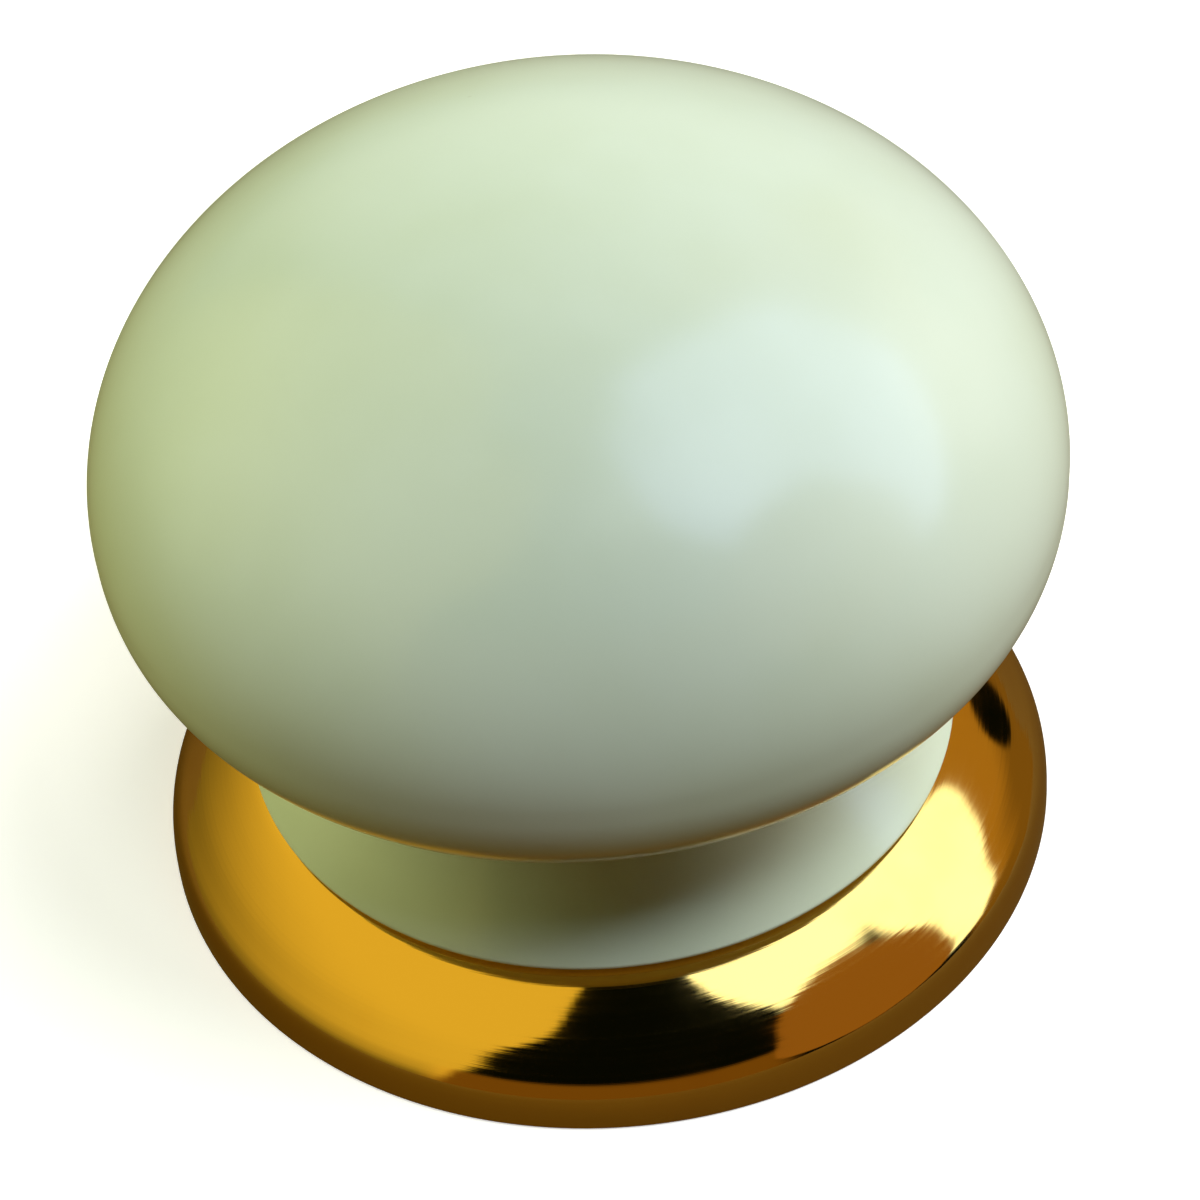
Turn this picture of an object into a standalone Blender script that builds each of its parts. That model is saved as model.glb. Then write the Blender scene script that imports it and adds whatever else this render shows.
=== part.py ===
"""Porcelain door knob on a sprung brass rose, 60 mm across and 50.5 mm high.

Frame: metres, +Z up along the knob's axis, z = 0 on the back of the rose, origin on the axis.
The two bolt posts lie on X. The knob, its shank, the driver plate, both washers and the circlip
turn together about Z. Everything else stays with the rose.
"""
import math

import bmesh
import bpy
from mathutils import Matrix, Vector

MM = 0.001
SEG = 48                      # facets of a turned piece

# knob body, all in mm
KNOB_R = 30.0
EQUATOR_Z = 29.6
DOME_H = 20.9
DOME_POWER = 1.95
UNDER_H = 12.6
UNDER_POWER = 2.58
WALL = 4.1
NECK_BORE_R = 13.0
FOOT_R = 22.85
FOOT_Z = 7.72
WAIST_R = 17.5
RECESS_R = 16.0               # pocket in the foot that clears the spring housing

# rose cover
COVER_R = 28.9
COVER_TOP = 7.42
COVER_T = 0.8
COVER_LINE = [                # (r, z) up the outside: rim, shoulder, slope, flat crown
    (28.9, 0.6), (28.88, 1.3), (28.78, 2.0), (28.55, 2.65), (28.15, 3.2), (27.5, 3.85),
    (26.4, 4.85), (25.2, 5.77), (24.0, 6.57), (22.85, 7.2), (22.1, 7.4), (21.2, COVER_TOP),
]
COVER_HOLE_R = 17.4

# rose base and what it holds
GAP = 0.3
BASE_R = 27.8
BASE_RECESS_R = 24.2
LEDGE_Z = 3.5
HOUSING_R = 15.2
HOUSING_TOP = 11.8
ROOF_Z = 10.8
CAVITY_R = 13.6
TUBE_R = 10.3
TUBE_BORE_R = 9.15
TUBE_Z0 = 5.6
SLOT_R = 18.4
SLOT_TOP = 5.5
BOLT_X = 19.0                 # bolts at 38 mm centres
SCREW_AT_R = 21.3
SCREW_ANGLES = (45.0, 135.0, 225.0, 315.0)

# turning parts inside
TRAVEL_DEG = 45.0
LUG_HALF_DEG = 14.0
STOP_SPARE_DEG = 1.2
JOURNAL_R = 8.0
FLAT_X = 6.8                  # half width over the two flats
SOCKET = 8.15                 # square hole for the spindle
SOCKET_TOP = 24.0
SHANK_Z0 = 0.15
SHANK_Z1 = 26.5
SPRING_R = 11.6
WIRE = 1.4
SPRING_TURNS = 2.25
SPRING_PITCH = 1.6
SPRING_Z0 = 6.2
SPRING_A0 = 225.0


def clear_scene():
    for ob in list(bpy.data.objects):
        bpy.data.objects.remove(ob, do_unlink=True)
    for store in (bpy.data.meshes, bpy.data.materials, bpy.data.cameras, bpy.data.lights):
        for item in list(store):
            store.remove(item)


def make_material(name, colour, metallic, rough):
    mat = bpy.data.materials.new(name)
    mat.use_nodes = True
    shader = mat.node_tree.nodes["Principled BSDF"]
    shader.inputs["Base Color"].default_value = (*colour, 1.0)
    shader.inputs["Metallic"].default_value = metallic
    shader.inputs["Roughness"].default_value = rough
    mat.diffuse_color = (*colour, 1.0)
    return mat


def to_object(name, bm, look):
    """Turns a bmesh in mm into a named object in metres with its own material."""
    bmesh.ops.scale(bm, vec=(MM, MM, MM), verts=bm.verts)
    bmesh.ops.recalc_face_normals(bm, faces=bm.faces)
    mesh = bpy.data.meshes.new(name)
    bm.to_mesh(mesh)
    bm.free()
    ob = bpy.data.objects.new(name, mesh)
    bpy.context.scene.collection.objects.link(ob)
    ob.data.materials.append(make_material(name + "_look", *look))
    return ob


def turned(profile, seg=SEG, closed=True):
    """A body of revolution from (r, z) points. A point at r = 0 becomes a pole."""
    bm = bmesh.new()
    rings = []
    for r, z in profile:
        if r < 1e-6:
            rings.append([bm.verts.new((0.0, 0.0, z))])
        else:
            ring = []
            for i in range(seg):
                a = 2 * math.pi * i / seg
                ring.append(bm.verts.new((r * math.cos(a), r * math.sin(a), z)))
            rings.append(ring)
    count = len(rings)
    for k in range(count if closed else count - 1):
        a, b = rings[k], rings[(k + 1) % count]
        if len(a) == 1 and len(b) == 1:
            continue
        for i in range(seg):
            j = (i + 1) % seg
            if len(a) == 1:
                bm.faces.new((a[0], b[i], b[j]))
            elif len(b) == 1:
                bm.faces.new((a[i], a[j], b[0]))
            else:
                bm.faces.new((a[i], a[j], b[j], b[i]))
    return bm


def prism(outline, z0, z1):
    """A straight prism over a closed (x, y) outline."""
    bm = bmesh.new()
    low = [bm.verts.new((x, y, z0)) for x, y in outline]
    top = [bm.verts.new((x, y, z1)) for x, y in outline]
    bm.faces.new(low[::-1])
    bm.faces.new(top)
    for i in range(len(outline)):
        j = (i + 1) % len(outline)
        bm.faces.new((low[i], low[j], top[j], top[i]))
    return bm


def arc(r, a0, a1, steps, cx=0.0, cy=0.0):
    out = []
    for i in range(steps + 1):
        a = math.radians(a0 + (a1 - a0) * i / steps)
        out.append((cx + r * math.cos(a), cy + r * math.sin(a)))
    return out


def disc_at(r, cx, cy, z0, z1, seg=24):
    start = 3.7               # keeps its corners off the axes, where other edges lie
    return prism(arc(r, start, start + 360.0 * (seg - 1) / seg, seg - 1, cx, cy), z0, z1)


def box_at(x0, x1, y0, y1, z0, z1, turn_deg=0.0):
    bm = prism([(x0, y0), (x1, y0), (x1, y1), (x0, y1)], z0, z1)
    bmesh.ops.transform(bm, matrix=Matrix.Rotation(math.radians(turn_deg), 4, "Z"), verts=bm.verts)
    return bm


def cut(ob, cutters):
    """Takes each cutter's volume out of the object, and leaves a plain mesh."""
    for n, bm in enumerate(cutters):
        tool = to_object(ob.name + "_cutter_%d" % n, bm, ((0.5, 0.5, 0.5), 0.0, 0.5))
        tool.hide_render = True
        tool.display_type = "WIRE"
        mod = ob.modifiers.new("cut", "BOOLEAN")
        mod.operation = "DIFFERENCE"
        mod.solver = "EXACT"
        mod.object = tool
        graph = bpy.context.evaluated_depsgraph_get()
        graph.update()
        fresh = bpy.data.meshes.new_from_object(ob.evaluated_get(graph))
        ob.modifiers.clear()
        old = ob.data
        ob.data = fresh
        fresh.name = ob.name
        bpy.data.meshes.remove(old)
        used = tool.data
        look = used.materials[0]
        bpy.data.objects.remove(tool, do_unlink=True)
        bpy.data.meshes.remove(used)
        while len(ob.data.materials) > 1:
            ob.data.materials.pop(index=len(ob.data.materials) - 1)
        for poly in ob.data.polygons:
            poly.material_index = 0
        tidy = bmesh.new()
        tidy.from_mesh(ob.data)
        bmesh.ops.remove_doubles(tidy, verts=tidy.verts, dist=0.0005 * MM)
        tidy.to_mesh(ob.data)
        tidy.free()
        bpy.data.materials.remove(look)
    return ob


def swept(path, radius, sides=8):
    """A round wire with flat ends along a list of points."""
    pts = [Vector(p) for p in path]
    tangents = []
    for i in range(len(pts)):
        a, b = pts[max(i - 1, 0)], pts[min(i + 1, len(pts) - 1)]
        tangents.append((b - a).normalized())
    side = tangents[0].orthogonal().normalized()
    bm = bmesh.new()
    rings = []
    for i, (p, t) in enumerate(zip(pts, tangents)):
        if i:
            side = tangents[i - 1].rotation_difference(t) @ side
            side = (side - t * side.dot(t)).normalized()
        up = t.cross(side)
        ring = []
        for k in range(sides):
            a = 2 * math.pi * (k + 0.5) / sides
            ring.append(bm.verts.new(p + radius * (math.cos(a) * side + math.sin(a) * up)))
        rings.append(ring)
    for a, b in zip(rings, rings[1:]):
        for k in range(sides):
            j = (k + 1) % sides
            bm.faces.new((a[k], a[j], b[j], b[k]))
    bm.faces.new(rings[0][::-1])
    bm.faces.new(rings[-1])
    return bm


def oval_points(r, h, power, a0, a1, steps):
    """(r, z) points of a superellipse quarter, from angle a0 to a1, height h up from 0."""
    out = []
    for i in range(steps + 1):
        a = math.radians(a0 + (a1 - a0) * i / steps)
        c, s = abs(math.cos(a)), abs(math.sin(a))
        out.append((r * c ** (2 / power), h * s ** (2 / power)))
    return out


def porcelain_knob():
    look = ((0.80, 0.86, 0.78), 0.0, 0.12)
    pts = [
        (RECESS_R, FOOT_Z + 0.25), (RECESS_R + 0.3, FOOT_Z), (FOOT_R - 0.35, FOOT_Z),
        (FOOT_R, FOOT_Z + 0.3), (22.62, 8.35), (21.75, 9.35), (20.7, 10.5), (19.65, 11.8),
        (18.7, 13.2), (18.0, 14.6), (17.6, 15.8), (WAIST_R, 16.6), (17.65, 17.35),
        (18.15, 18.0), (18.9, 18.45),
    ]
    # ball, from the underside to the top
    for r, h in oval_points(KNOB_R, UNDER_H, UNDER_POWER, 55.0, 5.0, 9):
        pts.append((r, EQUATOR_Z - h))
    for r, h in oval_points(KNOB_R, DOME_H, DOME_POWER, 0.0, 90.0, 16)[:-1]:
        pts.append((r, EQUATOR_Z + h))
    pts.append((0.0, EQUATOR_Z + DOME_H))
    # hollow inside, from the top down
    inner = KNOB_R - WALL
    hollow = [(0.0, EQUATOR_Z + DOME_H - WALL)]
    for r, h in oval_points(inner, DOME_H - WALL, DOME_POWER, 90.0, 0.0, 9)[1:]:
        hollow.append((r, EQUATOR_Z + h))
    for r, h in oval_points(inner, UNDER_H - WALL, UNDER_POWER, 10.0, 60.0, 5):
        hollow.append((r, EQUATOR_Z - h))
    hollow += [
        (14.2, 21.6), (13.4, 21.0), (NECK_BORE_R, 20.2), (NECK_BORE_R, 14.4),
        (RECESS_R, 12.9),
    ]
    return to_object("porcelain_knob", turned(pts + hollow), look)


def bonding_plaster():
    r = NECK_BORE_R - GAP
    pts = [
        (8.3, 15.5), (r - 0.5, 15.5), (r, 16.0), (r, 25.0), (r - 1.2, 25.6), (8.3, 25.6),
        (8.3, 24.0), (10.8, 24.0), (10.8, 20.7), (8.3, 20.7),
    ]
    return to_object("bonding_plaster", turned(pts), ((0.86, 0.83, 0.76), 0.0, 0.9))


def knob_shank():
    pts = [
        (0.0, SHANK_Z0), (7.7, SHANK_Z0), (JOURNAL_R, 0.4), (JOURNAL_R, 0.65), (7.1, 0.65),
        (7.1, 1.65), (JOURNAL_R, 1.65), (JOURNAL_R, 13.6), (10.9, 13.6), (11.2, 13.9),
        (11.2, 14.9), (10.9, 15.2), (JOURNAL_R, 15.2), (JOURNAL_R, 21.0), (10.5, 21.0),
        (10.5, 23.7), (JOURNAL_R, 23.7), (JOURNAL_R, SHANK_Z1 - 0.5),
        (JOURNAL_R - 0.5, SHANK_Z1), (0.0, SHANK_Z1),
    ]
    ob = to_object("knob_shank", turned(pts, closed=False), ((0.83, 0.62, 0.28), 1.0, 0.3))
    s = SOCKET / 2
    return cut(ob, [
        box_at(-s, s, -s, s, -2.0, SOCKET_TOP),
        box_at(FLAT_X, 12.0, -12.0, 12.0, -2.0, 5.4),
        box_at(-12.0, -FLAT_X, -12.0, 12.0, -2.0, 5.4),
    ])


def thrust_washer():
    pts = [(8.3, 12.85), (10.9, 12.85), (10.9, 13.35), (8.3, 13.35)]
    return to_object("thrust_washer", turned(pts), ((0.88, 0.86, 0.80), 0.0, 0.45))


def spring_driver():
    """Stamped plate: a round body with a stop lug on +Y, a double-D hole and a spring hole."""
    z0, z1, body = 3.6, 5.2, 13.2
    lug_r = SLOT_R - 0.5
    h = LUG_HALF_DEG
    outline = arc(lug_r, 90 - h, 90 + h, 5) + arc(body, 90 + h, 450 - h, 44)
    ob = to_object("spring_driver", prism(outline, z0, z1), ((0.62, 0.63, 0.65), 1.0, 0.35))
    r, x = JOURNAL_R + 0.15, FLAT_X + 0.15
    a = math.degrees(math.acos(x / r))
    hole = arc(r, a, 180 - a, 24) + arc(r, 180 + a, 360 - a, 24)
    t = math.radians(SPRING_A0)
    return cut(ob, [
        prism(hole, z0 - 1, z1 + 1),
        disc_at(1.05, SPRING_R * math.cos(t), SPRING_R * math.sin(t), z0 - 1, z1 + 1, 20),
    ])


def wave_washer():
    """Thin steel ring with three waves."""
    bm = bmesh.new()
    rings = []
    for r, dz in ((8.35, -0.15), (10.5, -0.15), (10.5, 0.15), (8.35, 0.15)):
        ring = []
        for i in range(SEG):
            a = 2 * math.pi * i / SEG
            z = 1.95 + dz + 0.07 * math.sin(3 * a)
            ring.append(bm.verts.new((r * math.cos(a), r * math.sin(a), z)))
        rings.append(ring)
    for k in range(4):
        a, b = rings[k], rings[(k + 1) % 4]
        for i in range(SEG):
            j = (i + 1) % SEG
            bm.faces.new((a[i], a[j], b[j], b[i]))
    return to_object("wave_washer", bm, ((0.60, 0.61, 0.63), 1.0, 0.32))


def retaining_circlip():
    """External circlip with two eyes at its opening on -Y."""
    z0, z1 = 0.75, 1.55
    g = 24.0
    outline = arc(9.7, -90 + g, 270 - g, 40) + arc(7.3, 270 - g, -90 + g, 40)
    ob = to_object("retaining_circlip", prism(outline, z0, z1), ((0.16, 0.16, 0.17), 1.0, 0.4))
    eyes = []
    for sign in (-1, 1):
        t = math.radians(-90 + sign * (g + 7.5))
        eyes.append(disc_at(0.5, 8.55 * math.cos(t), 8.55 * math.sin(t), z0 - 1, z1 + 1, 14))
    return cut(ob, eyes)


def dome_points(offset):
    """(r, z) points of the cover's dome from the rim up, moved inwards along its normal."""
    out, last = [], len(COVER_LINE) - 1
    for i, (r, z) in enumerate(COVER_LINE):
        before, after = COVER_LINE[max(i - 1, 0)], COVER_LINE[min(i + 1, last)]
        along = Vector((after[0] - before[0], after[1] - before[1])).normalized()
        if i == last:
            along = Vector((-1.0, 0.0))
        out.append((r - offset * along[1], z + offset * along[0]))
    return out


def rose_cover():
    pts = [(COVER_R - 0.25, 0.0), (COVER_R, 0.25)]
    pts += dome_points(0.0)
    pts += [(COVER_HOLE_R + 0.3, COVER_TOP), (COVER_HOLE_R, COVER_TOP - 0.3)]
    pts += [(COVER_HOLE_R, COVER_TOP - COVER_T)]
    pts += dome_points(COVER_T)[::-1]
    pts += [(COVER_R - COVER_T, 0.0)]
    return to_object("rose_cover", turned(pts), ((0.89, 0.66, 0.22), 1.0, 0.08))


def rose_base():
    shell = [p for p in dome_points(COVER_T + GAP) if p[1] > 2.1]
    pts = [
        (BASE_RECESS_R, 0.0), (BASE_R, 0.0), (BASE_R, 0.6), (26.6, 0.6), (26.6, 2.0),
        (shell[0][0], 2.0),
    ]
    pts += shell
    disc_top = shell[-1][1]
    pts += [
        (HOUSING_R, disc_top), (HOUSING_R, HOUSING_TOP - 0.3), (HOUSING_R - 0.3, HOUSING_TOP),
        (TUBE_BORE_R, HOUSING_TOP), (TUBE_BORE_R, TUBE_Z0), (TUBE_R, TUBE_Z0),
        (TUBE_R, ROOF_Z), (CAVITY_R, ROOF_Z), (CAVITY_R, LEDGE_Z), (BASE_RECESS_R, LEDGE_Z),
    ]
    ob = to_object("rose_base", turned(pts), ((0.55, 0.56, 0.58), 1.0, 0.45))
    half = TRAVEL_DEG + LUG_HALF_DEG + STOP_SPARE_DEG
    slot = arc(SLOT_R, 90 - half, 90 + half, 30) + arc(CAVITY_R - 0.8, 90 + half, 90 - half, 30)
    leg = SPRING_A0 + 360.0 * SPRING_TURNS
    cutters = [
        prism(slot, LEDGE_Z - 1.0, SLOT_TOP),
        box_at(CAVITY_R - 0.8, HOUSING_R + 1.0, -1.1, 1.1, 8.8, 10.7, leg),
    ]
    for side in (-1, 1):
        cutters.append(disc_at(3.0, side * BOLT_X, 0.0, LEDGE_Z - 1.0, disc_top + 1.0, 28))
    for a in SCREW_ANGLES:
        t = math.radians(a)
        cutters.append(disc_at(1.5, SCREW_AT_R * math.cos(t), SCREW_AT_R * math.sin(t),
                               LEDGE_Z - 1.0, 5.3, 20))
    return cut(ob, cutters)


def shank_bush():
    pts = [
        (8.1, 5.75), (9.0, 5.75), (9.0, 11.95), (11.0, 11.95), (11.0, 12.6), (8.1, 12.6),
    ]
    return to_object("shank_bush", turned(pts), ((0.72, 0.53, 0.30), 1.0, 0.35))


def return_spring():
    """Torsion spring: a tang down into the driver, coils, and a leg out through the housing."""
    path = []
    t0 = math.radians(SPRING_A0)
    for z in (3.9, 4.6, 5.2, 5.65):
        path.append((SPRING_R * math.cos(t0), SPRING_R * math.sin(t0), z))
    path.append((SPRING_R * math.cos(t0 + 0.03), SPRING_R * math.sin(t0 + 0.03), 6.02))
    turn = 2 * math.pi * SPRING_TURNS
    steps = int(28 * SPRING_TURNS)
    for i in range(1, steps):
        f = i / steps
        a = t0 + turn * f
        z = SPRING_Z0 + SPRING_PITCH * SPRING_TURNS * f
        path.append((SPRING_R * math.cos(a), SPRING_R * math.sin(a), z))
    end, z = t0 + turn, SPRING_Z0 + SPRING_PITCH * SPRING_TURNS
    for back, r in ((0.09, SPRING_R + 0.08), (0.03, SPRING_R + 0.5), (0.0, SPRING_R + 1.2),
                    (0.0, SPRING_R + 2.2), (0.0, HOUSING_R - 0.2)):
        path.append((r * math.cos(end - back), r * math.sin(end - back), z))
    return to_object("return_spring", swept(path, WIRE / 2), ((0.58, 0.59, 0.62), 1.0, 0.3))


def back_plate():
    z0, z1 = 2.3, 3.3
    outline = arc(BASE_RECESS_R - GAP, 0.0, 360.0 * (SEG - 1) / SEG, SEG - 1)
    ob = to_object("back_plate", prism(outline, z0, z1), ((0.66, 0.67, 0.69), 1.0, 0.4))
    cutters = [disc_at(8.45, 0.0, 0.0, z0 - 1, z1 + 1, 40)]
    for side in (-1, 1):
        cutters.append(disc_at(3.9, side * BOLT_X, 0.0, z0 - 1, z1 + 1, 28))
    for a in SCREW_ANGLES:
        t = math.radians(a)
        cutters.append(disc_at(1.6, SCREW_AT_R * math.cos(t), SCREW_AT_R * math.sin(t),
                               z0 - 1, z1 + 1, 20))
    return cut(ob, cutters)


def back_plate_screw(n, angle):
    pts = [
        (0.0, 0.95), (1.9, 0.95), (2.35, 1.3), (2.35, 2.05), (1.25, 2.05), (1.25, 4.7),
        (0.8, 5.1), (0.0, 5.1),
    ]
    name = "back_plate_screw_%d" % n
    bm = turned(pts, seg=24, closed=False)
    t = math.radians(angle)
    place = Matrix.Translation((SCREW_AT_R * math.cos(t), SCREW_AT_R * math.sin(t), 0.0))
    bmesh.ops.transform(bm, matrix=place, verts=bm.verts)
    ob = to_object(name, bm, ((0.70, 0.71, 0.74), 1.0, 0.3))
    cx, cy = SCREW_AT_R * math.cos(t), SCREW_AT_R * math.sin(t)
    tools = []
    for turn in (20.0, 110.0):
        b = box_at(-1.25, 1.25, -0.3, 0.3, 0.5, 1.5, turn + angle)
        bmesh.ops.translate(b, vec=(cx, cy, 0.0), verts=b.verts)
        tools.append(b)
    return cut(ob, tools)


def bolt_post(n, side):
    """Tapped post swaged into the base; its end face lies on the door."""
    pts = [
        (1.65, 0.0), (3.35, 0.0), (3.6, 0.25), (3.6, 3.2), (2.7, 3.2), (2.7, 5.6),
        (2.4, 5.9), (1.65, 5.9),
    ]
    bm = turned(pts, seg=28)
    bmesh.ops.translate(bm, vec=(side * BOLT_X, 0.0, 0.0), verts=bm.verts)
    return to_object("bolt_post_%d" % n, bm, ((0.80, 0.62, 0.32), 1.0, 0.35))


def cover_grip_ring():
    """Open wire ring in the groove of the base."""
    path = [(27.3 * c / 100.0, 27.3 * s / 100.0, 1.3) for c, s in arc(100.0, -75.0, 255.0, 48)]
    return to_object("cover_grip_ring", swept(path, 0.4), ((0.60, 0.61, 0.64), 1.0, 0.3))


def build():
    clear_scene()
    porcelain_knob()
    bonding_plaster()
    knob_shank()
    thrust_washer()
    spring_driver()
    wave_washer()
    retaining_circlip()
    rose_cover()
    rose_base()
    shank_bush()
    return_spring()
    back_plate()
    for n, angle in enumerate(SCREW_ANGLES, 1):
        back_plate_screw(n, angle)
    bolt_post(1, 1)
    bolt_post(2, -1)
    cover_grip_ring()


build()
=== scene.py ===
"""Looks for the porcelain door knob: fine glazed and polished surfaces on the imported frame."""
import math

import bmesh
import bpy
import numpy as np
from mathutils import Matrix, Vector


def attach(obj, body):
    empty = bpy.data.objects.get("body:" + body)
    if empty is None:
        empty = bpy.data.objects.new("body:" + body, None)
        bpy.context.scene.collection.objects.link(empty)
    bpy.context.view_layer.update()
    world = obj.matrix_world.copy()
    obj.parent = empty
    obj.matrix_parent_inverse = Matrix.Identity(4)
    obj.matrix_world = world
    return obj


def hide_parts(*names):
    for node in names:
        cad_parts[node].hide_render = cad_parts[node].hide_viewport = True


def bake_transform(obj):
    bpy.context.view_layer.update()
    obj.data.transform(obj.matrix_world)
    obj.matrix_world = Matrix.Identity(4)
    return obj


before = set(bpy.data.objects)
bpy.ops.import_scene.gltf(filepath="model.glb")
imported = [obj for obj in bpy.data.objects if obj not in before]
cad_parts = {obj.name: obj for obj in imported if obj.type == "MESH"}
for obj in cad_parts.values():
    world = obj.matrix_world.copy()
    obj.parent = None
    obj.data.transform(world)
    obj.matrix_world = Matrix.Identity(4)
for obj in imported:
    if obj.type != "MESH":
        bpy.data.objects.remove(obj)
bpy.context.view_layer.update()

MM = 0.001

# the knob's turned shape, in mm: z = 0 on the back of the rose
KNOB_R, EQUATOR_Z = 30.0, 29.6
DOME_H, DOME_POWER = 20.9, 1.95
UNDER_H, UNDER_POWER = 12.6, 2.58
WALL = 4.1
SKIN = 0.04        # the glaze lies this far inside the CAD surface
# the rose cover's dome
COVER_R, COVER_TOP, COVER_T, COVER_HOLE_R = 28.9, 7.42, 0.8, 17.4
COVER_LINE = [
    (28.9, 0.6), (28.88, 1.3), (28.78, 2.0), (28.55, 2.65), (28.15, 3.2), (27.5, 3.85),
    (26.4, 4.85), (25.2, 5.77), (24.0, 6.57), (22.85, 7.2), (22.1, 7.4), (21.2, COVER_TOP),
]


# ---------------------------------------------------------------- small helpers

def srgb(r, g, b):
    """A colour from 0..255 display values, as linear numbers."""
    out = []
    for c in (r, g, b):
        c = c / 255.0
        out.append(c / 12.92 if c <= 0.04045 else ((c + 0.055) / 1.055) ** 2.4)
    return tuple(out)


def linked(name, mesh):
    ob = bpy.data.objects.new(name, mesh)
    bpy.context.scene.collection.objects.link(ob)
    return ob


def mesh_from(name, verts, faces):
    """A smooth-shaded mesh object from points in mm."""
    mesh = bpy.data.meshes.new(name)
    mesh.from_pydata([(x * MM, y * MM, z * MM) for x, y, z in verts], [], faces)
    mesh.polygons.foreach_set("use_smooth", [True] * len(mesh.polygons))
    mesh.update()
    return linked(name, mesh)


def smooth_path(points, steps):
    """A Catmull-Rom curve through three or more points."""
    p = [np.array(q, float) for q in points]
    p = [2 * p[0] - p[1]] + p + [2 * p[-1] - p[-2]]
    out = []
    for i in range(1, len(p) - 2):
        a, b, c, d = p[i - 1:i + 3]
        for k in range(steps):
            t = k / steps
            out.append(0.5 * (2 * b + (c - a) * t + (2 * a - 5 * b + 4 * c - d) * t ** 2
                              + (3 * b - a - 3 * c + d) * t ** 3))
    out.append(p[-2])
    return out


def turned(name, profile, seg):
    """A body of revolution from a closed loop of (r, z) points in mm."""
    verts, faces, rings = [], [], []
    for r, z in profile:
        if r < 1e-6:
            rings.append([len(verts)])
            verts.append((0.0, 0.0, z))
        else:
            rings.append(list(range(len(verts), len(verts) + seg)))
            for i in range(seg):
                a = 2 * math.pi * i / seg
                verts.append((r * math.cos(a), r * math.sin(a), z))
    n = len(rings)
    for k in range(n):
        a, b = rings[k], rings[(k + 1) % n]
        for i in range(seg):
            j = (i + 1) % seg
            if len(a) == 1 and len(b) == 1:
                break
            if len(a) == 1:
                faces.append((a[0], b[j], b[i]))
            elif len(b) == 1:
                faces.append((a[i], a[j], b[0]))
            else:
                faces.append((a[i], a[j], b[j], b[i]))
    ob = mesh_from(name, verts, faces)
    bm = bmesh.new()
    bm.from_mesh(ob.data)
    bmesh.ops.recalc_face_normals(bm, faces=bm.faces)
    bm.to_mesh(ob.data)
    bm.free()
    return ob


def oval(r, h, power, a0, a1, steps):
    """(r, z) points on a superellipse, from angle a0 to a1 in degrees."""
    out = []
    for i in range(steps + 1):
        a = math.radians(a0 + (a1 - a0) * i / steps)
        c, s = abs(math.cos(a)), abs(math.sin(a))
        out.append((r * c ** (2 / power), h * s ** (2 / power)))
    return out


# ---------------------------------------------------------------- porcelain body

def ball_profile(steps):
    """(r, z) from the neck's top, round the ball, to the pole."""
    r0, under, dome = KNOB_R - SKIN, UNDER_H - SKIN, DOME_H - SKIN
    low = [(r, EQUATOR_Z - h) for r, h in oval(r0, under, UNDER_POWER, 55, 3, steps // 2)]
    top = [(r, EQUATOR_Z + h) for r, h in oval(r0, dome, DOME_POWER, 0, 90, steps)]
    return low, top


def make_porcelain():
    neck = smooth_path([
        (22.85, 8.15), (22.6, 8.45), (21.75, 9.4), (20.7, 10.55), (19.65, 11.85), (18.7, 13.2),
        (18.0, 14.6), (17.6, 15.8), (17.5, 16.6), (17.65, 17.35), (18.15, 18.0), (18.9, 18.45),
    ], 4)
    foot = [(16.0, 8.0), (16.1, 7.8), (16.3, 7.72), (19.5, 7.72), (22.4, 7.72), (22.68, 7.8),
            (22.82, 7.95)]
    low, top = ball_profile(100)
    inner = KNOB_R - WALL
    hollow = [(r, EQUATOR_Z + h) for r, h in oval(inner, DOME_H - WALL, DOME_POWER, 90, 0, 20)]
    hollow[0] = (0.0, hollow[0][1])
    hollow += [(r, EQUATOR_Z - h) for r, h in oval(inner, UNDER_H - WALL, UNDER_POWER, 8, 60, 10)]
    hollow += [(14.2, 21.6), (13.4, 21.0), (13.0, 20.2), (13.0, 14.4), (16.0, 12.9)]
    outside = foot + [tuple(p) for p in neck] + low + top[:-1] + [(0.0, EQUATOR_Z + DOME_H - SKIN)]
    return turned("porcelain_body", outside + hollow, seg=320)


# ---------------------------------------------------------------- rose cover

def make_cover():
    top = COVER_TOP
    line = [Vector(p) for p in smooth_path(COVER_LINE, 8)]
    pts = [(COVER_R - 0.3, 0.0), (COVER_R - 0.12, 0.04), (COVER_R - 0.03, 0.14), (COVER_R, 0.28)]
    pts += [tuple(p) for p in line]
    pts += [(COVER_HOLE_R + 0.3, top), (COVER_HOLE_R + 0.08, top - 0.08), (COVER_HOLE_R, top - 0.3)]
    pts += [(COVER_HOLE_R, top - COVER_T)]
    inner = []
    for i in range(0, len(line), 4):
        along = (line[min(i + 1, len(line) - 1)] - line[max(i - 1, 0)]).normalized()
        inner.append((line[i][0] - COVER_T * along[1], line[i][1] + COVER_T * along[0]))
    pts += inner[::-1]
    pts += [(COVER_R - COVER_T, 0.0)]
    return turned("brass_cover", pts, seg=224)


# ---------------------------------------------------------------- materials

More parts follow.
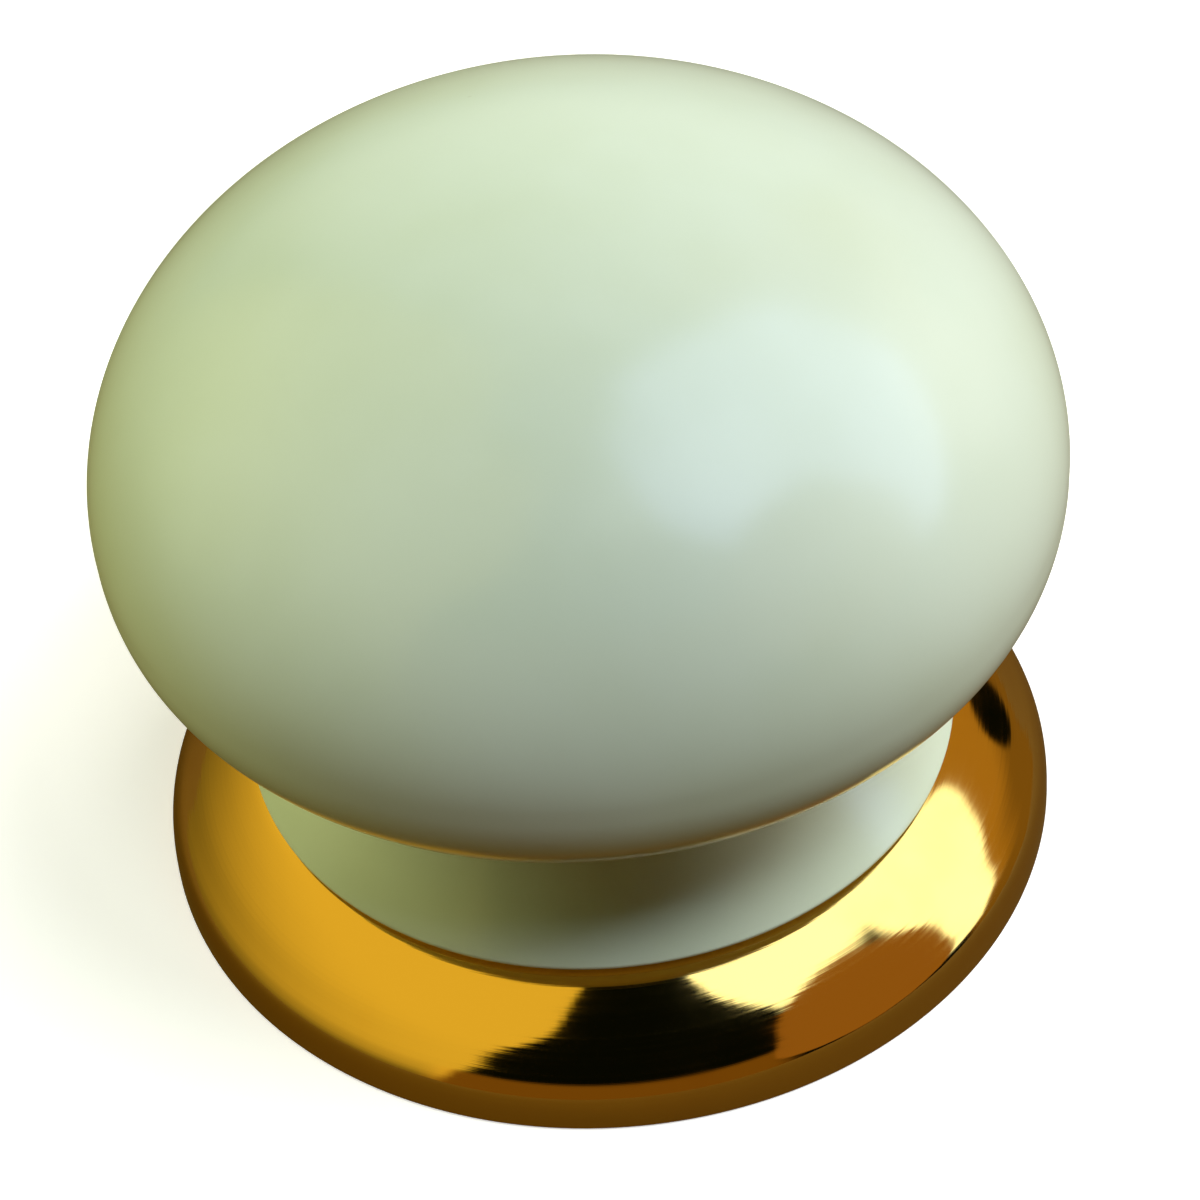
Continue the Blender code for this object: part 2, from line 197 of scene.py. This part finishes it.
class Look:
    """A material under construction: short calls for its nodes."""

    def __init__(self, name, **values):
        self.mat = bpy.data.materials.new(name)
        self.mat.use_nodes = True
        self.tree = self.mat.node_tree
        self.shader = self.tree.nodes["Principled BSDF"]
        for key, value in values.items():
            self.set(self.shader, key.replace("_", " "), value)

    def set(self, node, key, value):
        socket = node.inputs[key]
        if isinstance(value, bpy.types.NodeSocket):
            self.tree.links.new(value, socket)
        elif isinstance(value, tuple) and len(value) == 3 and socket.type == "RGBA":
            socket.default_value = (*value, 1.0)
        else:
            socket.default_value = value

    def add(self, kind, out=0, props=None, **inputs):
        node = self.tree.nodes.new("ShaderNode" + kind)
        for key, value in (props or {}).items():
            setattr(node, key, value)
        for key, value in inputs.items():
            key = int(key[1:]) if key[0] == "i" and key[1:].isdigit() else key.replace("_", " ")
            self.set(node, key, value)
        return node.outputs[out]

    def coords(self):
        return self.add("TexCoord", out="Object")

    def math(self, op, a, b=0.0, clamp=False):
        return self.add("Math", props={"operation": op, "use_clamp": clamp}, i0=a, i1=b)

    def noise(self, scale, detail=2.0, rough=0.5, stretch=None):
        at = self.coords()
        if stretch:
            at = self.add("Mapping", Vector=at, Scale=stretch)
        return self.add("TexNoise", Vector=at, Scale=scale, Detail=detail, Roughness=rough)

    def ramp(self, value, lo, hi, to_lo=0.0, to_hi=1.0):
        return self.add("MapRange", props={"interpolation_type": "SMOOTHSTEP"}, i0=value, i1=lo,
                        i2=hi, i3=to_lo, i4=to_hi)

    def mix(self, fac, a, b, mode="MIX"):
        node = self.tree.nodes.new("ShaderNodeMix")
        node.data_type, node.blend_type = "RGBA", mode
        self.set(node, 0, fac)
        self.set(node, 6, a)
        self.set(node, 7, b)
        return node.outputs[2]

    def bump(self, height, strength, distance, after=None):
        node = self.tree.nodes.new("ShaderNodeBump")
        self.set(node, "Height", height)
        node.inputs["Strength"].default_value = strength
        node.inputs["Distance"].default_value = distance
        if after is not None:
            self.set(node, "Normal", after)
        return node.outputs[0]

    def finish(self, **values):
        for key, value in values.items():
            self.set(self.shader, key.replace("_", " "), value)
        return self.mat


GLAZE_LIGHT, GLAZE_WARM = srgb(228, 242, 226), srgb(222, 236, 214)


def glaze_base(k):
    """The fired glaze's colour: nearly even, with slow cloudy changes and a few faint specks."""
    cloud = k.ramp(k.noise(38.0, 3.0, 0.55), 0.35, 0.68)
    body = k.mix(cloud, GLAZE_LIGHT, GLAZE_WARM)
    speck = k.add("TexVoronoi", Vector=k.coords(), Scale=260.0)
    sparse = k.ramp(k.noise(90.0, 1.0, 0.5), 0.62, 0.72)
    dot = k.math("MULTIPLY", k.ramp(speck, 0.05, 0.025), sparse)
    return k.mix(k.math("MULTIPLY", dot, 0.16), body, srgb(150, 140, 105))


def glaze_finish(k, colour):
    """Gloss and the slight orange-peel that a dipped glaze has."""
    peel = k.bump(k.noise(120.0, 2.0, 0.5), 0.05, 0.0004)
    wave = k.bump(k.noise(28.0, 1.0, 0.4), 0.12, 0.0006, after=peel)
    rough = k.ramp(k.noise(60.0, 2.0, 0.6), 0.3, 0.75, 0.16, 0.24)
    k.shader.inputs["Subsurface Weight"].default_value = 0.0
    k.shader.inputs["Specular IOR Level"].default_value = 0.5
    k.shader.inputs["IOR"].default_value = 1.52
    return k.finish(Base_Color=colour, Roughness=rough, Normal=wave)


def glaze_material():
    k = Look("glazed_porcelain")
    return glaze_finish(k, glaze_base(k))


BRASS, BRASS_DARK = (0.94, 0.62, 0.13), (0.84, 0.48, 0.08)
RING_STRETCH = 9.0


def radius_and_height(k):
    """Distance from the axis and height, as sockets, for marks that run round the axis."""
    split = k.tree.nodes.new("ShaderNodeSeparateXYZ")
    k.set(split, 0, k.coords())
    square = lambda v: k.math("MULTIPLY", v, v)
    r = k.math("POWER", k.math("ADD", square(split.outputs[0]), square(split.outputs[1])), 0.5)
    return r, split.outputs[2]


def brass_material():
    """Polished, lacquered brass: spun rings, hairlines and faint tarnish in cloudy patches."""
    k = Look("polished_brass", Metallic=1.0)
    r, z = radius_and_height(k)
    ring_at = k.tree.nodes.new("ShaderNodeCombineXYZ")
    k.set(ring_at, 0, k.math("MULTIPLY", r, RING_STRETCH))
    k.set(ring_at, 1, k.math("MULTIPLY", z, RING_STRETCH))
    rings = k.add("TexNoise", Vector=ring_at.outputs[0], Scale=420.0, Detail=3.0, Roughness=0.6)
    cloud = k.noise(70.0, 4.0, 0.6)
    tarnish = k.ramp(cloud, 0.52, 0.75)
    colour = k.mix(k.math("MULTIPLY", tarnish, 0.35), BRASS, BRASS_DARK)
    hair = k.noise(900.0, 2.0, 0.5, stretch=(1.0, 0.12, 0.3))
    rough = k.math("ADD", k.ramp(rings, 0.35, 0.7, 0.045, 0.085),
                   k.math("MULTIPLY", tarnish, 0.05))
    normal = k.bump(rings, 0.02, 0.0002)
    normal = k.bump(hair, 0.012, 0.0002, after=normal)
    normal = k.bump(k.noise(55.0, 1.0, 0.4), 0.10, 0.0005, after=normal)
    return k.finish(Base_Color=colour, Roughness=rough, Normal=normal)


porcelain = make_porcelain()
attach(porcelain, "knob")
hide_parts("porcelain_knob")
porcelain.data.materials.append(glaze_material())

cover = make_cover()
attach(cover, "rose")
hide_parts("rose_cover")
cover.data.materials.append(brass_material())


# ---------------------------------------------------------------- the pieces behind the rose

def metal(name, light, dark, smooth, worn, grain=400.0, stretch=None, turned_rings=False,
          stain=0.5, dents=0.15):
    """A bare or plated metal: tool marks, cloudy stain and an uneven polish."""
    k = Look(name, Metallic=1.0)
    marks = k.noise(grain, 3.0, 0.6, stretch=stretch)
    if turned_rings:
        r, z = radius_and_height(k)
        at = k.tree.nodes.new("ShaderNodeCombineXYZ")
        k.set(at, 0, r)
        k.set(at, 1, z)
        marks = k.add("TexNoise", Vector=at.outputs[0], Scale=grain * 5.0, Detail=2.0,
                      Roughness=0.6)
    cloud = k.ramp(k.noise(140.0, 4.0, 0.6), 0.42, 0.72)
    fine = k.ramp(k.noise(900.0, 2.0, 0.6), 0.45, 0.75)
    colour = k.mix(k.math("MULTIPLY", cloud, stain), light, dark)
    colour = k.mix(k.math("MULTIPLY", fine, 0.18), colour, dark)
    rough = k.math("ADD", k.ramp(marks, 0.3, 0.7, smooth, worn),
                   k.math("MULTIPLY", cloud, 0.10), clamp=True)
    normal = k.bump(marks, dents, 0.0002)
    normal = k.bump(k.noise(70.0, 2.0, 0.5), 0.12, 0.0003, after=normal)
    return k.finish(Base_Color=colour, Roughness=rough, Normal=normal)


def zinc_plate():
    """Sheet steel with a clear zinc finish: rolled grain and a faint yellow and blue bloom."""
    k = Look("zinc_plated_steel", Metallic=1.0)
    spangle = k.add("TexVoronoi", out="Color", Vector=k.coords(), Scale=160.0)
    hue = k.noise(60.0, 2.0, 0.5)
    bloom = k.mix(k.ramp(hue, 0.35, 0.65), (0.66, 0.68, 0.74), (0.74, 0.71, 0.60))
    colour = k.mix(0.07, bloom, spangle, "OVERLAY")
    grain = k.noise(700.0, 3.0, 0.6, stretch=(0.06, 1.0, 1.0))
    rough = k.ramp(grain, 0.3, 0.7, 0.26, 0.42)
    return k.finish(Base_Color=colour, Roughness=rough, Normal=k.bump(grain, 0.15, 0.0001))


def cast_zinc():
    """Die-cast alloy: dull grey skin, flow marks and fine pitting."""
    k = Look("die_cast_zinc", Metallic=1.0)
    flow = k.noise(45.0, 4.0, 0.65, stretch=(1.0, 2.2, 1.0))
    colour = k.mix(k.ramp(flow, 0.35, 0.7), (0.52, 0.52, 0.53), (0.40, 0.40, 0.42))
    pits = k.add("TexVoronoi", Vector=k.coords(), Scale=620.0)
    skin = k.noise(520.0, 3.0, 0.6)
    normal = k.bump(k.ramp(pits, 0.0, 0.35), 0.10, 0.0002)
    normal = k.bump(skin, 0.20, 0.0002, after=normal)
    return k.finish(Base_Color=colour, Roughness=k.ramp(skin, 0.3, 0.7, 0.44, 0.60),
                    Normal=normal)


def plaster():
    """Bonding cement: pale, chalky, with grit and small air holes, painted darker inside as painted
    shade.
    """
    k = Look("bonding_cement")
    grit = k.noise(600.0, 4.0, 0.7)
    colour = k.mix(k.ramp(k.noise(120.0, 3.0, 0.6), 0.35, 0.7), srgb(214, 206, 188),
                   srgb(186, 176, 156))
    holes = k.add("TexVoronoi", Vector=k.coords(), Scale=420.0)
    # painted shade: the air holes are painted dark, standing in for the shade inside them
    colour = k.mix(k.ramp(holes, 0.10, 0.03), colour, srgb(120, 112, 98))
    normal = k.bump(grit, 0.5, 0.0004)
    normal = k.bump(k.ramp(holes, 0.02, 0.12), 0.4, 0.0004, after=normal)
    return k.finish(Base_Color=colour, Roughness=k.ramp(grit, 0.3, 0.7, 0.78, 0.95),
                    Normal=normal)


def nylon():
    """Moulded nylon washer: milky, faintly mottled, satin."""
    k = Look("natural_nylon")
    k.shader.inputs["Subsurface Weight"].default_value = 0.15
    k.shader.inputs["Subsurface Scale"].default_value = 0.001
    mottled = k.noise(180.0, 3.0, 0.5)
    colour = k.mix(k.ramp(mottled, 0.35, 0.7), srgb(236, 232, 220), srgb(222, 216, 198))
    skin = k.noise(900.0, 2.0, 0.5)
    return k.finish(Base_Color=colour, Roughness=k.ramp(skin, 0.3, 0.7, 0.38, 0.52),
                    Normal=k.bump(skin, 0.10, 0.0001))


STEEL, STEEL_DARK = (0.56, 0.57, 0.60), (0.30, 0.30, 0.32)
lathe = metal("turned_brass", (0.78, 0.54, 0.22), (0.55, 0.36, 0.13), 0.18, 0.34,
              turned_rings=True)
wire = metal("spring_steel", STEEL, STEEL_DARK, 0.22, 0.40, stretch=(1.0, 1.0, 0.2))
oxide = metal("black_steel", (0.085, 0.085, 0.09), (0.03, 0.03, 0.033), 0.36, 0.55,
              stain=0.8)
sheet = zinc_plate()
NODE_LOOKS = {
    "bonding_plaster": (plaster(), 0.0),
    "knob_shank": (lathe, 0.12),
    "thrust_washer": (nylon(), 0.15),
    "spring_driver": (sheet, 0.10),
    "wave_washer": (wire, 0.0),
    "retaining_circlip": (oxide, 0.06),
    "rose_base": (cast_zinc(), 0.15),
    "shank_bush": (lathe, 0.12),
    "back_plate": (sheet, 0.12),
    "bolt_post_1": (lathe, 0.15),
    "bolt_post_2": (lathe, 0.15),
    "cover_grip_ring": (wire, 0.0),
    **{"back_plate_screw_%d" % n: (sheet, 0.08) for n in (1, 2, 3, 4)},
}


def dress(ob, look, edge):
    """Gives a node its look and, where it has hard edges, a small softened edge."""
    if ob.data.materials:
        ob.data.materials[0] = look
    else:
        ob.data.materials.append(look)
    if edge:
        bevel = ob.modifiers.new("edge", "BEVEL")
        bevel.width, bevel.segments = edge * MM, 2
        bevel.limit_method, bevel.angle_limit = "ANGLE", math.radians(50)
        bevel.harden_normals = False


for node_name, (look, edge) in NODE_LOOKS.items():
    dress(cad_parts[node_name], look, edge)


SPRING_R, SPRING_WIRE, SPRING_TURNS, SPRING_PITCH, SPRING_Z = 11.6, 0.7, 2.25, 1.6, 6.2
SPRING_START, SPRING_OUT = math.radians(225.0), 15.0


def spring_line():
    """The wire's centre line: a tang down, the coils, and a leg out through the housing."""
    ring = lambda r, a, z: (r * math.cos(a), r * math.sin(a), z)
    line = [ring(SPRING_R, SPRING_START, z) for z in (3.95, 4.6, 5.2, 5.65)]
    line.append(ring(SPRING_R, SPRING_START + 0.03, 6.02))
    turn, steps = 2 * math.pi * SPRING_TURNS, 180
    for i in range(3, steps):
        f = i / steps
        line.append(ring(SPRING_R, SPRING_START + turn * f,
                         SPRING_Z + SPRING_PITCH * SPRING_TURNS * f))
    end, z = SPRING_START + turn, SPRING_Z + SPRING_PITCH * SPRING_TURNS
    for back, r in ((0.09, SPRING_R + 0.08), (0.03, SPRING_R + 0.5), (0.0, SPRING_R + 1.2),
                    (0.0, SPRING_R + 2.2), (0.0, SPRING_OUT)):
        line.append(ring(r, end - back, z))
    return [Vector(p) for p in line]


def make_spring(sides=18):
    line = spring_line()
    ways = [(line[min(i + 1, len(line) - 1)] - line[max(i - 1, 0)]).normalized()
            for i in range(len(line))]
    side = ways[0].orthogonal().normalized()
    verts, faces = [], []
    for i, (at, way) in enumerate(zip(line, ways)):
        if i:
            side = ways[i - 1].rotation_difference(way) @ side
            side = (side - way * side.dot(way)).normalized()
        up = way.cross(side)
        for k in range(sides):
            a = 2 * math.pi * k / sides
            verts.append(at + SPRING_WIRE * (math.cos(a) * side + math.sin(a) * up))
    for i in range(len(line) - 1):
        for k in range(sides):
            j = (k + 1) % sides
            a, b = i * sides, (i + 1) * sides
            faces.append((a + k, a + j, b + j, b + k))
    faces.append(tuple(range(sides))[::-1])
    faces.append(tuple(len(verts) - sides + k for k in range(sides)))
    return mesh_from("return_spring_wire", verts, faces)


spring = make_spring()
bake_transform(spring)
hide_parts("return_spring")
spring.data.materials.append(wire)


# ---------------------------------------------------------------- camera, floor, light

# the camera looks at the ball's widest circle; shifts and distance are in metres
CAM_TILT, CAM_ROLL = math.radians(44.0), math.radians(5.4)
CAM_DISTANCE, CAM_RIGHT, CAM_DOWN = 0.240, 0.00141, 0.00893
CAM_LENS, CAM_SENSOR = 117.7, 36.0


def make_camera():
    tilt, roll = CAM_TILT, CAM_ROLL
    back = Vector((0, -math.cos(tilt), math.sin(tilt)))
    flat_up = Vector((0, math.sin(tilt), math.cos(tilt)))
    flat_right = Vector((1, 0, 0))
    right = math.cos(roll) * flat_right - math.sin(roll) * flat_up
    up = math.sin(roll) * flat_right + math.cos(roll) * flat_up
    place = Vector((0, 0, EQUATOR_Z * MM)) + back * CAM_DISTANCE + right * CAM_RIGHT - up * CAM_DOWN
    data = bpy.data.cameras.new("camera")
    data.sensor_width = CAM_SENSOR
    data.lens = CAM_LENS
    data.clip_start, data.clip_end = 0.01, 20.0
    cam = bpy.data.objects.new("camera", data)
    bpy.context.scene.collection.objects.link(cam)
    turn = Matrix((right, up, back)).transposed().to_4x4()
    cam.matrix_world = Matrix.Translation(place) @ turn
    bpy.context.scene.camera = cam


make_camera()


def make_floor():
    """A plain pale floor. Only the camera sees it pale: the object sees a dim warm table."""
    mesh = bpy.data.meshes.new("floor")
    mesh.from_pydata([(-4, -4, 0), (4, -4, 0), (4, 4, 0), (-4, 4, 0)], [], [(0, 1, 2, 3)])
    ob = linked("floor", mesh)
    k = Look("floor_paper", Roughness=0.9)
    tree = k.tree
    k.set(k.shader, "Base Color", (0.88, 0.88, 0.87))
    k.shader.inputs["Emission Color"].default_value = (1, 1, 0.99, 1)
    k.shader.inputs["Emission Strength"].default_value = FLOOR_GLOW
    dim = tree.nodes.new("ShaderNodeBsdfPrincipled")
    dim.inputs["Base Color"].default_value = (*TABLE, 1.0)
    dim.inputs["Roughness"].default_value = 0.9
    dim.inputs["Emission Color"].default_value = (*TABLE_GLOW, 1.0)
    dim.inputs["Emission Strength"].default_value = 1.0
    seen = tree.nodes.new("ShaderNodeLightPath")
    both = tree.nodes.new("ShaderNodeMixShader")
    tree.links.new(seen.outputs["Is Camera Ray"], both.inputs[0])
    tree.links.new(dim.outputs[0], both.inputs[1])
    tree.links.new(k.shader.outputs[0], both.inputs[2])
    tree.links.new(both.outputs[0], tree.nodes["Material Output"].inputs[0])
    ob.data.materials.append(k.mat)


def heading(az, el):
    """A direction: azimuth 0 is towards -Y, 90 towards +X."""
    a, e = math.radians(az), math.radians(el)
    return Vector((math.sin(a) * math.cos(e), -math.cos(a) * math.cos(e), math.sin(e)))


class Sky:
    """The studio round the object, as soft panels on a dim ground."""

    def __init__(self):
        world = bpy.data.worlds.new("studio")
        bpy.context.scene.world = world
        world.use_nodes = True
        self.tree = world.node_tree
        self.tree.nodes.clear()
        self.at = self.node("TexCoord").outputs["Generated"]
        self.total = None

    def node(self, kind, **props):
        n = self.tree.nodes.new("ShaderNode" + kind)
        for key, value in props.items():
            setattr(n, key, value)
        return n

    def wire(self, value, socket):
        if isinstance(value, bpy.types.NodeSocket):
            self.tree.links.new(value, socket)
        else:
            socket.default_value = value

    def math(self, op, a, b=0.0):
        n = self.node("Math", operation=op)
        self.wire(a, n.inputs[0])
        self.wire(b, n.inputs[1])
        return n.outputs[0]

    def step(self, value, lo, hi):
        n = self.node("MapRange", interpolation_type="SMOOTHSTEP")
        self.wire(value, n.inputs[0])
        for i, v in enumerate((lo, hi, 0.0, 1.0), 1):
            n.inputs[i].default_value = v
        return n.outputs[0]

    def compass(self):
        """Azimuth and elevation of the direction, in degrees."""
        split = self.node("SeparateXYZ")
        self.wire(self.at, split.inputs[0])
        x, y, z = split.outputs
        to_deg = 180.0 / math.pi
        az = self.math("MULTIPLY", self.math("ARCTAN2", x, self.math("MULTIPLY", y, -1.0)), to_deg)
        el = self.math("MULTIPLY", self.math("ARCSINE", z), to_deg)
        return az, el

    def between(self, value, lo, hi, soft=2.0):
        """A mask, 1 where the value lies between two limits, which may be sockets."""
        over = self.step(self.math("SUBTRACT", value, lo), -soft, soft)
        return self.math("MULTIPLY", over, self.step(self.math("SUBTRACT", hi, value), -soft, soft))

    def oval(self, az, el, at_az, at_el, half_w, half_h, soft=0.08):
        x = self.math("DIVIDE", self.math("SUBTRACT", az, at_az), half_w)
        y = self.math("DIVIDE", self.math("SUBTRACT", el, at_el), half_h)
        far = self.math("ADD", self.math("MULTIPLY", x, x), self.math("MULTIPLY", y, y))
        return self.step(self.math("SUBTRACT", 1.0, far), -soft, soft)

    def add(self, mask, colour):
        n = self.node("Mix", data_type="RGBA")
        self.wire(mask, n.inputs[0])
        n.inputs[6].default_value = (0, 0, 0, 1)
        n.inputs[7].default_value = (*colour, 1)
        if self.total is None:
            self.total = n.outputs[2]
        else:
            s = self.node("Mix", data_type="RGBA", blend_type="ADD")
            s.inputs[0].default_value = 1.0
            self.wire(self.total, s.inputs[6])
            self.wire(n.outputs[2], s.inputs[7])
            self.total = s.outputs[2]

    def finish(self, backdrop):
        """Camera rays see a plain pale backdrop."""
        shine, plain = self.node("Background"), self.node("Background")
        self.wire(self.total, shine.inputs[0])
        plain.inputs[0].default_value = (*backdrop, 1)
        seen, both = self.node("LightPath"), self.node("MixShader")
        self.wire(seen.outputs["Is Camera Ray"], both.inputs[0])
        self.wire(shine.outputs[0], both.inputs[1])
        self.wire(plain.outputs[0], both.inputs[2])
        out = self.node("OutputWorld")
        self.wire(both.outputs[0], out.inputs[0])


FLOOR_GLOW = 0.55
TABLE, TABLE_GLOW = (0.078, 0.044, 0.008), (0.042, 0.024, 0.002)
PANELS = {
    "ground": (0.002, 0.003, 0.002),
    "front_low": (0.17, 0.08, 0.01),
    "lens": (0.28, 0.13, 0.03),
    "softbox": (1.75, 2.1, 3.3),
    "left": (0.78, 0.60, 0.13),
    "far_right": (0.40, 0.22, 0.04),
    "behind": (0.6, 0.6, 0.55),
}
# name: azimuth, elevation, spread in degrees, colour
LAMPS = {
    "right_side": (117, 15, 36, (2.42, 2.26, 2.05)),
    "right_high": (66, 61, 24, (1.36, 1.48, 1.46)),
    "left_side": (-114, 16, 50, (1.85, 1.92, 0.88)),
    "front_high": (16, 66, 16, (0.50, 0.53, 0.54)),
}


def make_lamps():
    """Soft fills that light the glaze but are not mirrored in the brass."""
    for name, (az, el, spread, colour) in LAMPS.items():
        lamp = bpy.data.lights.new("fill_" + name, "SUN")
        strength = max(colour)
        lamp.energy = strength
        lamp.color = [c / strength for c in colour]
        lamp.angle = math.radians(spread)
        ob = bpy.data.objects.new("fill_" + name, lamp)
        ob.rotation_euler = heading(az, el).to_track_quat("Z", "Y").to_euler()
        ob.visible_glossy = False
        bpy.context.scene.collection.objects.link(ob)


def make_light():
    s = Sky()
    az, el = s.compass()
    mul, sub = (lambda a, b: s.math("MULTIPLY", a, b)), (lambda a, b: s.math("SUBTRACT", a, b))
    s.add(1.0, PANELS["ground"])
    lens = s.oval(az, el, 57, 25, 25, 24)
    clear = sub(1.0, lens)
    s.add(lens, PANELS["lens"])
    s.add(mul(mul(s.between(az, -46, 34, 4), s.between(el, -5, 33, 3)), clear),
          PANELS["front_low"])
    high = mul(s.between(az, s.math("ADD", 29.0, mul(s.step(el, 62, 46), 13.0)), 130),
               s.between(el, 46, 82, 3))
    side_edge = s.math("ADD", 115.0, mul(sub(el, 29.0), 0.6))
    side_foot = s.math("MAXIMUM", s.math("ADD", 11.0, mul(sub(az, 90.0), 0.72)), 10.0)
    side = mul(s.between(az, 77, side_edge), s.between(el, side_foot, 60))
    s.add(mul(s.math("MAXIMUM", high, side), clear), PANELS["softbox"])
    edge = sub(-23.0, mul(s.step(el, 60, 30), 20.0))
    left = mul(s.between(az, -142, edge), s.between(el, -4, 76, 4))
    rise = s.math("ADD", 0.22, mul(s.step(el, -5, 45), 0.78))
    s.add(mul(left, rise), PANELS["left"])
    spot = s.oval(az, el, 131, 11, 7, 7, 0.3)
    far = mul(s.between(az, 84, 148, 3), s.between(el, -3, 62, 4))
    taken = s.math("MAXIMUM", s.math("MAXIMUM", high, side), lens)
    far = mul(mul(far, sub(1.0, spot)), sub(1.0, taken))
    s.add(mul(far, s.math("ADD", 0.5, mul(s.step(el, 8, 18), 0.5))), PANELS["far_right"])
    back = s.between(s.math("ABSOLUTE", az), 148, 200, 8)
    s.add(mul(back, s.between(el, 4, 74, 10)), PANELS["behind"])
    s.finish((0.93, 0.93, 0.92))
    bpy.context.scene.world.cycles_visibility.diffuse = False
    make_lamps()


make_floor()
make_light()

bpy.context.scene.view_settings.view_transform = "Standard"
